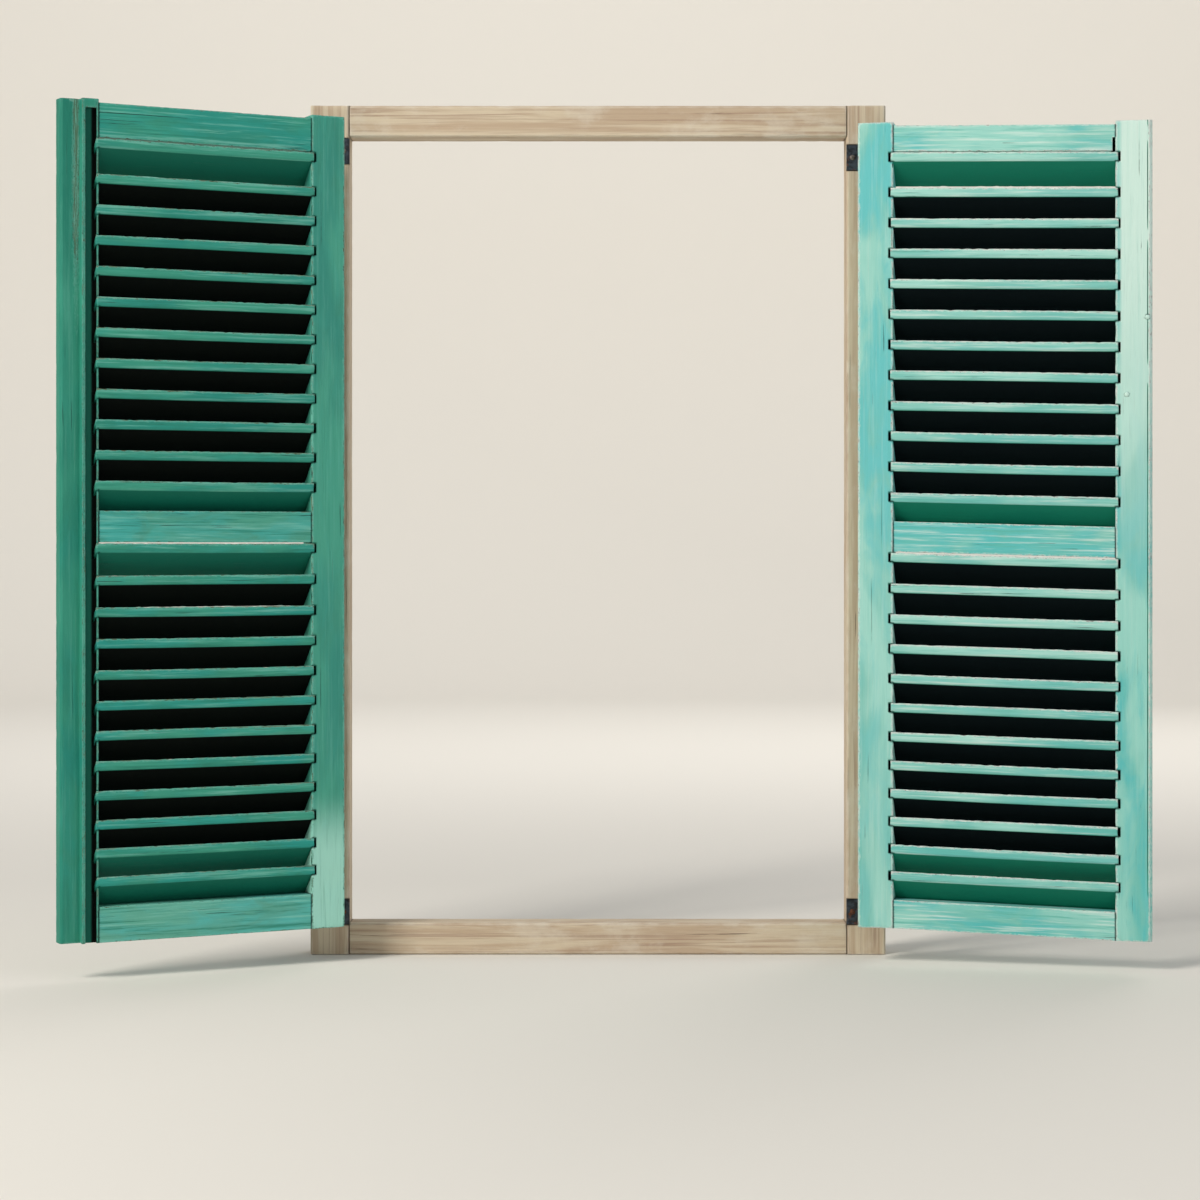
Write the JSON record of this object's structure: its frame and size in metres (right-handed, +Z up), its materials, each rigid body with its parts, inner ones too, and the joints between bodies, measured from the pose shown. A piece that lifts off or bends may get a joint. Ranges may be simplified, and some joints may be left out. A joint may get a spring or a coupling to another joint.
{
  "type": "louvred window shutter pair",
  "caption": "Pair of fixed-louvre timber shutter leaves on strap hinges and cranked iron pintles, hung from a plain timber window frame.",
  "frame": {"origin": "middle of the frame's back face, which lies against the wall", "axes": "+X to the right along the wall as seen from outdoors, +Y into the wall, +Z up"},
  "size_m": [1.9147, 0.3776, 1.558],
  "materials": {
    "leaf_paint": "weathered matt turquoise paint on softwood",
    "frame_timber": "pale weathered timber",
    "hinge_iron": "dark weathered forged iron",
    "screw_steel": "dull rusted screw and nail heads"
  },
  "bodies": {
    "frame": {"frame_head": "frame_timber", "frame_sill": "frame_timber", "frame_left_post": "frame_timber", "frame_right_post": "frame_timber", "left_upper_pintle": "hinge_iron", "left_lower_pintle": "hinge_iron", "right_upper_pintle": "hinge_iron", "right_lower_pintle": "hinge_iron", "pintle_screws": "screw_steel"},
    "left_leaf": {"left_hinge_stile": "leaf_paint", "left_meeting_stile": "leaf_paint", "left_top_rail": "leaf_paint", "left_middle_rail": "leaf_paint", "left_bottom_rail": "leaf_paint", "left_upper_slats": "leaf_paint", "left_lower_slats": "leaf_paint", "left_upper_strap": "hinge_iron", "left_lower_strap": "hinge_iron", "left_strap_screws": "screw_steel"},
    "right_leaf": {"right_hinge_stile": "leaf_paint", "right_meeting_stile": "leaf_paint", "right_top_rail": "leaf_paint", "right_middle_rail": "leaf_paint", "right_bottom_rail": "leaf_paint", "right_upper_slats": "leaf_paint", "right_lower_slats": "leaf_paint", "right_upper_strap": "hinge_iron", "right_lower_strap": "hinge_iron", "right_strap_screws": "screw_steel", "right_stile_nails": "screw_steel"}
  },
  "joints": [
    {"name": "left_hinge", "type": "hinge", "parent": "frame", "child": "left_leaf", "pos_m": [-0.491, -0.11506, 0], "axis": [0, 0, 1], "range_deg": [-27.2, 152.8]},
    {"name": "right_hinge", "type": "hinge", "parent": "frame", "child": "right_leaf", "pos_m": [0.491, -0.11506, 0], "axis": [0, 0, 1], "range_deg": [-167.3, 12.7]}
  ]
}
